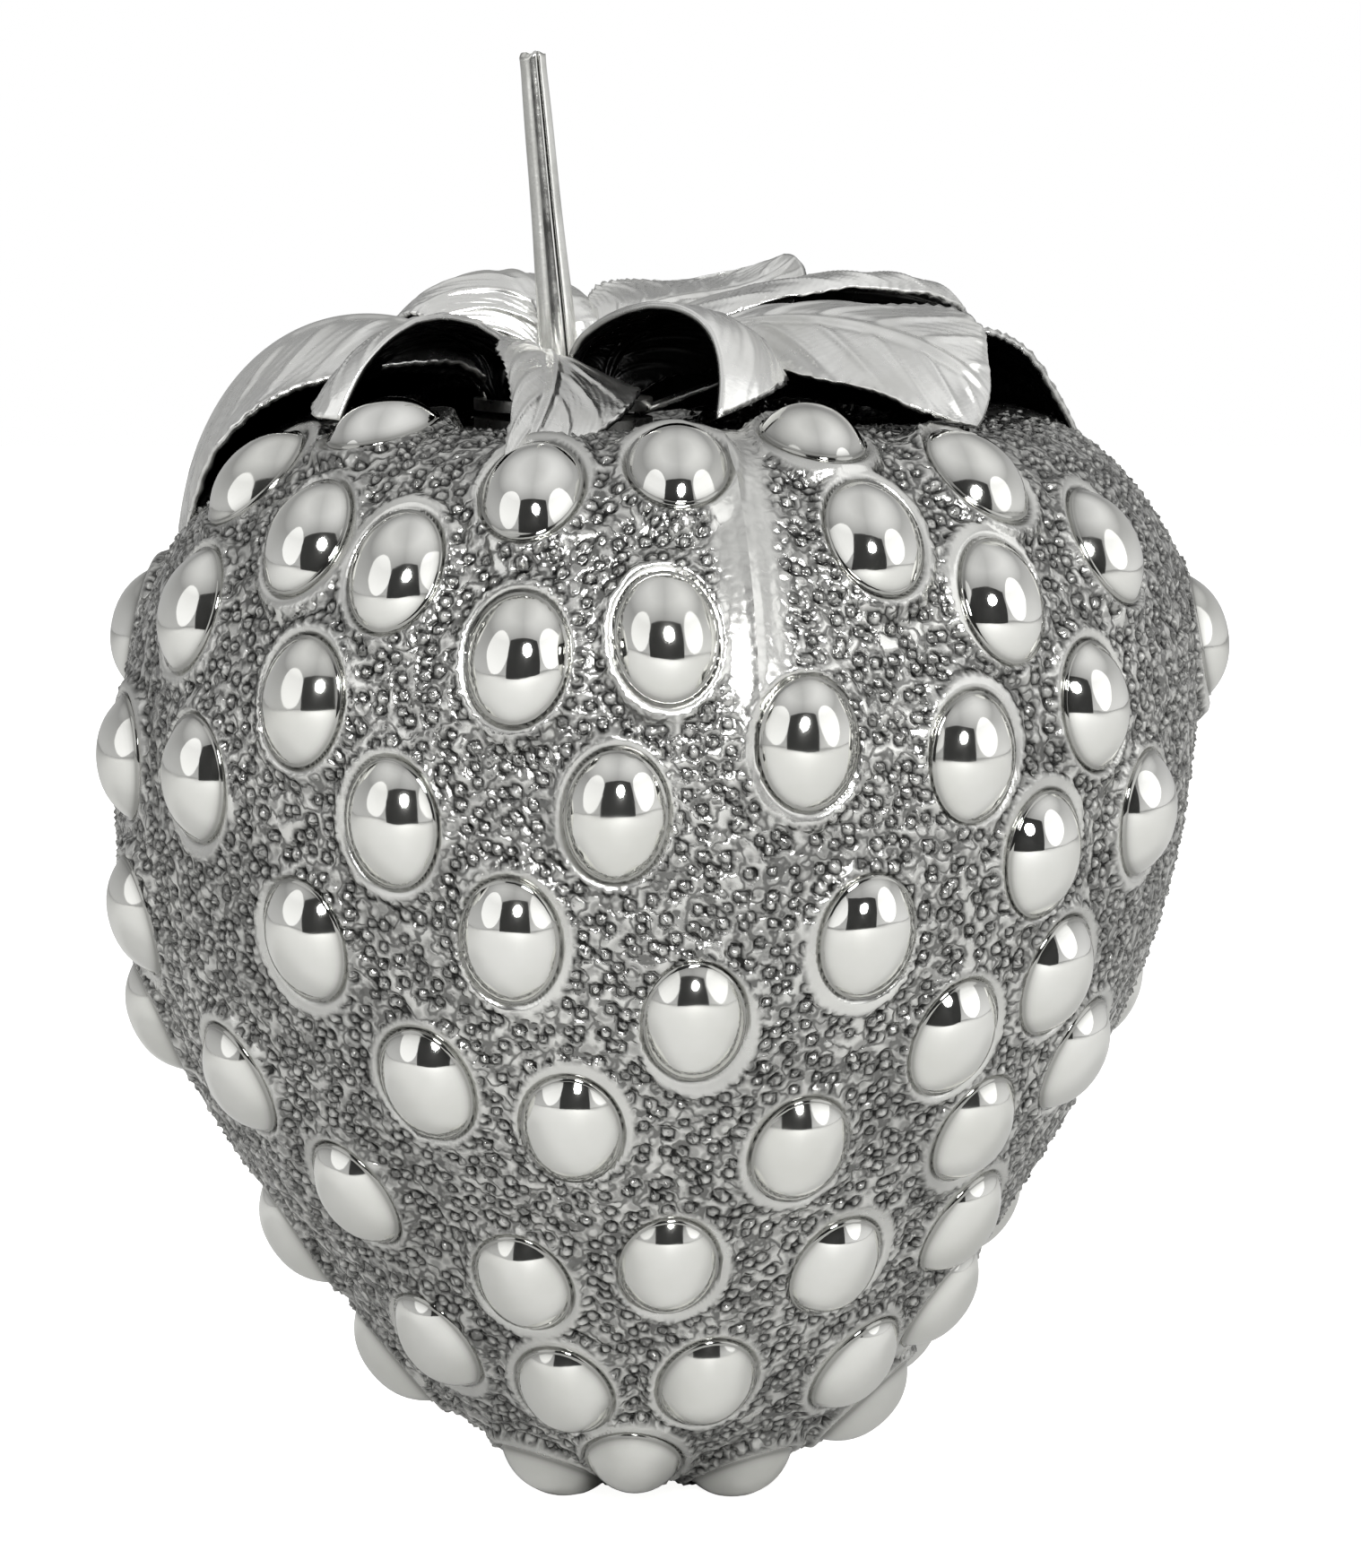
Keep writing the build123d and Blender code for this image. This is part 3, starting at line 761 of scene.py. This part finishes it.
def sepal_mesh(neck, *rows):
    """A leaf on a grid of share along it, u, and across it, v: the cubic along u of the cubics
    across v through the neck and the three rows. Veins fan out from the middle as ridges of a
    sine of u less a part of v, with fine strokes between them, and the margins are crimped by a
    fine wave. Returns the points, the triangles, and 1 at each point of the underside."""
    azimuth, level = neck
    turn = math.radians(azimuth)
    out = np.array([math.sin(turn), -math.cos(turn), 0])
    across = np.array([math.cos(turn), math.sin(turn), 0])
    spread = np.array([-1, -1 / 3, 1 / 3, 1])[:, None]
    root = np.array([-calyx_offset, 0, level + 0.5]) + out * neck_reach
    net = np.array([root + across * neck_half_width * spread, *np.array(rows, dtype=float)])
    u = np.linspace(0, 1, 110)[:, None]
    v = np.linspace(-1, 1, 61)[None, :]
    along = cubic_through(u[:, 0])
    wide = cubic_through(v[0] / 2 + 0.5)
    top = np.einsum("ku,kmc,mv->uvc", along, net, wide)
    sideways = np.gradient(top, axis=1)
    lengthways = np.gradient(top, axis=0)
    lift = np.cross(sideways, lengthways)
    lift /= np.linalg.norm(lift, axis=2)[..., None]
    lift *= np.sign(lift[..., 2].mean())
    outward = sideways / np.linalg.norm(sideways, axis=2)[..., None] * np.sign(v)[..., None]
    far = np.abs(v)
    crimp = 0.05 * np.sin(u * 97 + 3 * np.sin(u * 23)) + 0.09 * np.sin(u * 31 + azimuth)
    crimp = crimp * far**8
    vein = np.sin(2 * math.pi * (side_veins * (u - 0.25 * far) - 0.5))
    stroke_turns = chased_strokes * (u - 0.40 * far) + 0.3 * np.sin(9 * u + 5 * v)
    strokes = np.sin(2 * math.pi * stroke_turns)
    relief = vein_height * np.maximum(vein, 0) ** 3 * np.minimum(1, 4 * far) * (1 - far**4)
    relief = relief - stroke_depth * np.maximum(strokes, 0) ** 2 * np.minimum(1, 3 * far)
    relief = relief + 0.14 * bump_profile(v, 0, 0.06) - 0.09 * bump_profile(far, 0.11, 0.05)
    relief = relief + waviness * np.sin(11 * u + 2 * v + azimuth) * far**2
    relief = relief + 0.07 * far**16 * (1 + np.sin(u * 170 + 4 * np.sin(u * 19)))
    fade = np.minimum(1, 5 * u) * np.minimum(1, 8 * (1 - u) + 0.2)
    top = top + outward * (crimp * fade)[..., None] + lift * (relief * fade)[..., None]
    rows, columns = top.shape[:2]
    point = np.concatenate([top.reshape(-1, 3), (top - lift * sepal_thickness).reshape(-1, 3)])
    i = np.arange(rows - 1)[:, None] * columns
    j = np.arange(columns - 1)[None, :]
    upper = np.stack([i + j, i + columns + j, i + columns + j + 1, i + j + 1], axis=2)
    upper = upper.reshape(-1, 4)
    under = rows * columns
    lower = upper[:, ::-1] + under
    i = np.arange(rows - 1) * columns
    first_edge = np.stack([i, i + under, i + columns + under, i + columns], axis=1)
    i = i + columns - 1
    last_edge = np.stack([i, i + columns, i + columns + under, i + under], axis=1)
    j = np.arange(columns - 1)
    start = np.stack([j, j + 1, j + 1 + under, j + under], axis=1)
    j = j + (rows - 1) * columns
    finish = np.stack([j, j + under, j + 1 + under, j + 1], axis=1)
    faces = np.concatenate([upper, lower, first_edge, last_edge, start, finish])
    middle = rows // 2, columns // 2
    step = top[middle[0] + 1, middle[1]] - top[middle]
    if np.cross(step, top[middle[0], middle[1] + 1] - top[middle]) @ lift[middle] < 0:
        faces = faces[:, ::-1]
    faces = np.concatenate([faces[:, [0, 1, 2]], faces[:, [0, 2, 3]]])
    return point, faces, np.repeat([0.0, 1.0], under)


def sepal_finish():
    """Satin silver, brushed, and painted near black underneath as shade under the leaf."""
    bright, dull = (0.97, 0.97, 0.95, 1), (0.84, 0.84, 0.81, 1)
    material = silver("sepal_silver", bright, dull, 0.20, 0.36, 220, 0.000012)[0]
    tree = material.node_tree
    below = node(tree, "ShaderNodeAttribute", (-700, 500), attribute_name="underside")
    # Painted shade: the underside of each leaf is near black.
    tarnish_and_shade_over(tree, below.outputs["Fac"], (0.010, 0.010, 0.010, 1))
    return material


sepal_silver = sepal_finish()
for name, shape in sepals.items():
    point, faces, underside = sepal_mesh(*shape)
    marks = {"underside": underside}
    make_piece(f"{name}_leaf", point, faces, sepal_silver, name, marks)


# ---------------------------------------------------------------------------------------
# Stem: a strip of silver rolled into a long tapered tube, its edges nearly meeting in a
# slit down one side. It leans to the left and ends in an open, slightly uneven mouth.
# ---------------------------------------------------------------------------------------
stem_length = 21.0
stem_base_radius = 1.25
stem_top_radius = 0.75
stem_wall = 0.28
stem_lean = math.radians(5)
slit_azimuth = 25
slit_width = 0.16


def stem_mesh():
    """The tube on a grid of share up it, u, and turn round it, a, which stops short of a full
    turn by the slit. The radius tapers, and near the top it opens and dips unevenly."""
    u = np.linspace(0, 1, 90)[:, None]
    radius = stem_base_radius + (stem_top_radius - stem_base_radius) * u
    radius = radius + 0.05 * np.clip((u - 0.93) / 0.07, 0, 1) ** 2 + 0.03 * np.sin(9 * u)
    half_slit = slit_width / 2 / radius
    share = np.linspace(0, 1, 64)[None, :]
    turn = np.radians(slit_azimuth) + half_slit + (2 * math.pi - 2 * half_slit) * share
    ragged = 0.16 * np.sin(2 * turn + 0.6) + 0.07 * np.sin(5 * turn)
    length = stem_length * u + ragged * np.clip((u - 0.9) / 0.1, 0, 1) ** 2
    axis = np.array([-math.sin(stem_lean), 0, math.cos(stem_lean)])
    right = np.array([math.cos(stem_lean), 0, math.sin(stem_lean)])
    front = np.array([0, -1.0, 0])
    foot = np.array([-calyx_offset, 0, upper_neck - 0.05])

    def wall_at(reach):
        """The tube's skin at a reach from its axis: along the axis, to the right and forward."""
        to_the_right = right * (reach * np.sin(turn))[..., None]
        forward = front * (reach * np.cos(turn))[..., None]
        return foot + axis * length[..., None] + to_the_right + forward

    outer, inner = wall_at(radius), wall_at(radius - stem_wall)
    loop = np.concatenate([outer, inner[:, ::-1]], axis=1)
    rows, columns = loop.shape[:2]
    i = np.arange(rows - 1)[:, None] * columns
    j = np.arange(columns)[None, :]
    n = (j + 1) % columns
    wall = np.stack([i + j, i + n, i + columns + n, i + columns + j], axis=2).reshape(-1, 4)
    k = np.arange(share.size - 1)
    foot_end = np.stack([k, columns - 1 - k, columns - 2 - k, k + 1], axis=1)
    top_end = foot_end[:, ::-1] + (rows - 1) * columns
    faces = np.concatenate([wall, foot_end, top_end])
    faces = np.concatenate([faces[:, [0, 1, 2]], faces[:, [0, 2, 3]]])
    return loop.reshape(-1, 3), faces


stem_silver = silver(
    "stem_silver", (0.84, 0.84, 0.81, 1), (0.60, 0.60, 0.57, 1), 0.12, 0.30, 300, 0.000010
)[0]
point, faces = stem_mesh()
make_piece("stem_rolled_tube", point, faces, stem_silver, "stem_tube")


# ---------------------------------------------------------------------------------------
# Studio: a pale table, pale walls that are brighter to the right, two soft boxes that light
# the table, two large weak lamps at the sides, one small lamp beside the camera, and a dark
# card behind the camera that only the silver sees. Lengths are in metres.
# ---------------------------------------------------------------------------------------
def flat_material(name, tone):
    """A matt tone."""
    material = bpy.data.materials.new(name)
    material.use_nodes = True
    shader = material.node_tree.nodes["Principled BSDF"]
    shader.inputs["Base Color"].default_value = (tone, tone, tone * 0.99, 1)
    shader.inputs["Roughness"].default_value = 0.7
    shader.inputs["Specular IOR Level"].default_value = 0.2
    return material


def backdrop(name, corners, material):
    """A four-cornered sheet that is part of the studio."""
    mesh = bpy.data.meshes.new(name)
    mesh.from_pydata(corners, [], [(0, 1, 2, 3)])
    mesh.materials.append(material)
    sheet = bpy.data.objects.new(name, mesh)
    bpy.context.scene.collection.objects.link(sheet)
    return sheet


table_reach = 0.9
corner_signs = ((-1, -1), (1, -1), (1, 1), (-1, 1))
table_corners = [(x * table_reach, y * table_reach, 0) for x, y in corner_signs]
pale_table = flat_material("pale_table", 0.46)
backdrop("table", table_corners, pale_table)
# To the camera itself the table glows, so that it is as pale as the walls.
tree = pale_table.node_tree
seen = node(tree, "ShaderNodeLightPath", (-600, 0))
glow = node(tree, "ShaderNodeMath", (-300, 0), operation="MULTIPLY")
glow.inputs[1].default_value = 0.95
shader = tree.nodes["Principled BSDF"]
shader.inputs["Emission Color"].default_value = (1, 1, 0.985, 1)
tree.links.new(seen.outputs["Is Camera Ray"], glow.inputs[0])
tree.links.new(glow.outputs["Value"], shader.inputs["Emission Strength"])

card_left, card_right, card_top, card_y = -0.27, 0.30, 0.44, -0.46
card_corners = [(card_left, card_y, 0), (card_right, card_y, 0)]
card_corners += [(card_right, card_y, card_top), (card_left, card_y, card_top)]
card = backdrop("dark_card", card_corners, flat_material("dark_card", 0.03))
card.visible_camera = False
card.visible_diffuse = False
card.visible_shadow = False

# Each lamp's place, width and power, and whether the silver mirrors it.
lamps = {
    "lamp_beside_camera": ((0.05, -0.42, 0.24), 0.12, 1.5, True),
    "soft_box_left": ((-0.55, -0.25, 0.55), 0.35, 3.5, False),
    "soft_box_right": ((0.60, 0.05, 0.50), 0.35, 3.3, False),
    "side_glow_left": ((-0.44, -0.31, 0.26), 0.50, 0.36, True),
    "side_glow_right": ((0.48, -0.26, 0.26), 0.50, 0.42, True),
}
lit_height = 0.04
for name, (place, width, power, mirrored) in lamps.items():
    light = bpy.data.lights.new(name, "AREA")
    light.shape = "DISK"
    light.size = width
    light.energy = power
    lamp = bpy.data.objects.new(name, light)
    lamp.location = place
    tilt = math.atan2(math.hypot(place[0], place[1]), place[2] - lit_height)
    lamp.rotation_euler = (tilt, 0, math.atan2(place[0], -place[1]))
    lamp.visible_glossy = mirrored
    bpy.context.scene.collection.objects.link(lamp)

# The walls: one tone from left to right times another from the level line up and down, and
# plain white where the camera looks straight at them.
world = bpy.data.worlds.new("pale_room")
bpy.context.scene.world = world
world.use_nodes = True
tree = world.node_tree
seen = node(tree, "ShaderNodeLightPath", (-600, 300))
way = node(tree, "ShaderNodeTexCoord", (-1300, 0))
parts = node(tree, "ShaderNodeSeparateXYZ", (-1100, 0))
lifted = node(tree, "ShaderNodeMath", (-900, 250), operation="ABSOLUTE")
height = node(tree, "ShaderNodeValToRGB", (-700, 250))
stops_of(height, [(0.0, 0.62), (0.22, 0.55), (0.55, 0.42), (0.9, 0.95)])
sideways = node(tree, "ShaderNodeMapRange", (-900, 0))
sideways.inputs["From Min"].default_value = -1
walls = node(tree, "ShaderNodeValToRGB", (-700, 0))
stops_of(walls, [(0.0, 0.84), (0.3, 0.75), (0.5, 0.58), (0.7, 0.85), (1.0, 1.25)])
both = node(tree, "ShaderNodeMix", (-500, 100), data_type="RGBA", blend_type="MULTIPLY")
both.inputs["Factor"].default_value = 1.0
tone = node(tree, "ShaderNodeMix", (-300, 200), data_type="RGBA")
tone.inputs["B"].default_value = (1, 1, 1, 1)
link = tree.links.new
link(way.outputs["Generated"], parts.inputs["Vector"])
link(parts.outputs["X"], sideways.inputs["Value"])
link(sideways.outputs["Result"], walls.inputs["Fac"])
link(walls.outputs["Color"], both.inputs["A"])
link(parts.outputs["Z"], lifted.inputs[0])
link(lifted.outputs["Value"], height.inputs["Fac"])
link(height.outputs["Color"], both.inputs["B"])
link(both.outputs["Result"], tone.inputs["A"])
link(seen.outputs["Is Camera Ray"], tone.inputs["Factor"])
link(tone.outputs["Result"], tree.nodes["Background"].inputs["Color"])
